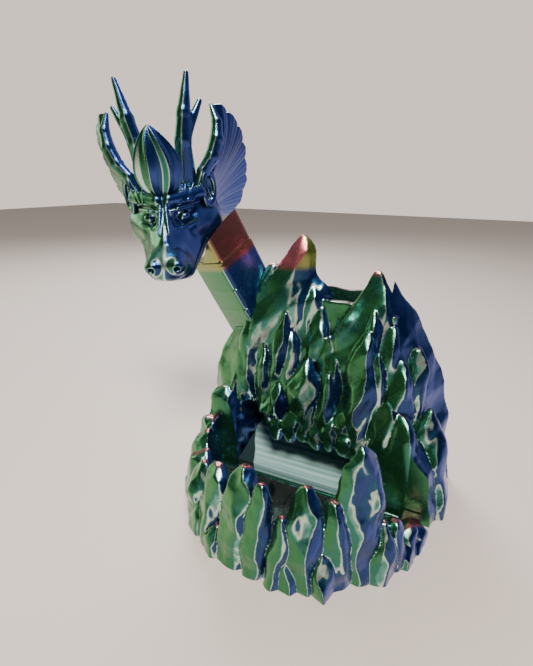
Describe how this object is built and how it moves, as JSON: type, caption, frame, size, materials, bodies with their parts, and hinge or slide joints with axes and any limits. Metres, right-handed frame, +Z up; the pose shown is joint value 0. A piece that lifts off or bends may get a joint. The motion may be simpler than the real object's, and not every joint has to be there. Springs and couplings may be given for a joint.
{
  "type": "dice tower",
  "caption": "Dice tower shaped as a hollow two-peaked crag, with a rock-rimmed half-round tray and an antlered dragon's head on a leaning neck.",
  "frame": {"origin": "centre of the round footprint on the resting surface, 2 mm behind the plane where the tray meets the crag", "axes": "+Z up, +Y from the tray towards the chimney, +X to the right when facing the tray"},
  "size_m": [0.28, 0.1906, 0.2974],
  "materials": {
    "silk_crag": "three-colour silk print: green to the left, blue to the right, red near the tips, with layer lines",
    "silk_tray": "three-colour silk print: green to the left, blue to the right, with layer lines",
    "silk_ramp": "pale teal silk print, very glossy, with level layer lines",
    "silk_neck": "silk print, green to blue with a red-brown upper length",
    "silk_dragon": "silk print, deep blue to green, very glossy",
    "magnet": "nickel plated"
  },
  "bodies": {
    "tower": {"mountain_shell": "silk_crag", "base_plate": "silk_crag", "exit_ramp": "silk_ramp", "baffle_upper": "silk_crag", "baffle_middle": "silk_crag", "baffle_lower": "silk_crag", "tower_magnets": "magnet"},
    "tray": {"rock_tray": "silk_tray", "tray_magnets": "magnet", "dock_pegs": "silk_tray"},
    "neck": {"neck_lower": "silk_neck"},
    "head": {"neck_upper": "silk_neck", "dragon_head": "silk_dragon", "antler_left": "silk_dragon", "antler_right": "silk_dragon", "fin_left": "silk_dragon", "fin_right": "silk_dragon", "ear_left": "silk_dragon", "ear_right": "silk_dragon", "forehead_crest": "silk_dragon"}
  },
  "joints": [
    {"name": "tray_slide", "type": "slide", "parent": "tower", "child": "tray", "axis": [0, -1, 0], "range_m": [0, 0.06]},
    {"name": "neck_lift", "type": "slide", "parent": "tower", "child": "neck", "axis": [-0.315, -0.3451, 0.8841], "range_m": [0, 0.05]},
    {"name": "head_lift", "type": "slide", "parent": "neck", "child": "head", "axis": [-0.315, -0.3451, 0.8841], "range_m": [0, 0.03]}
  ]
}
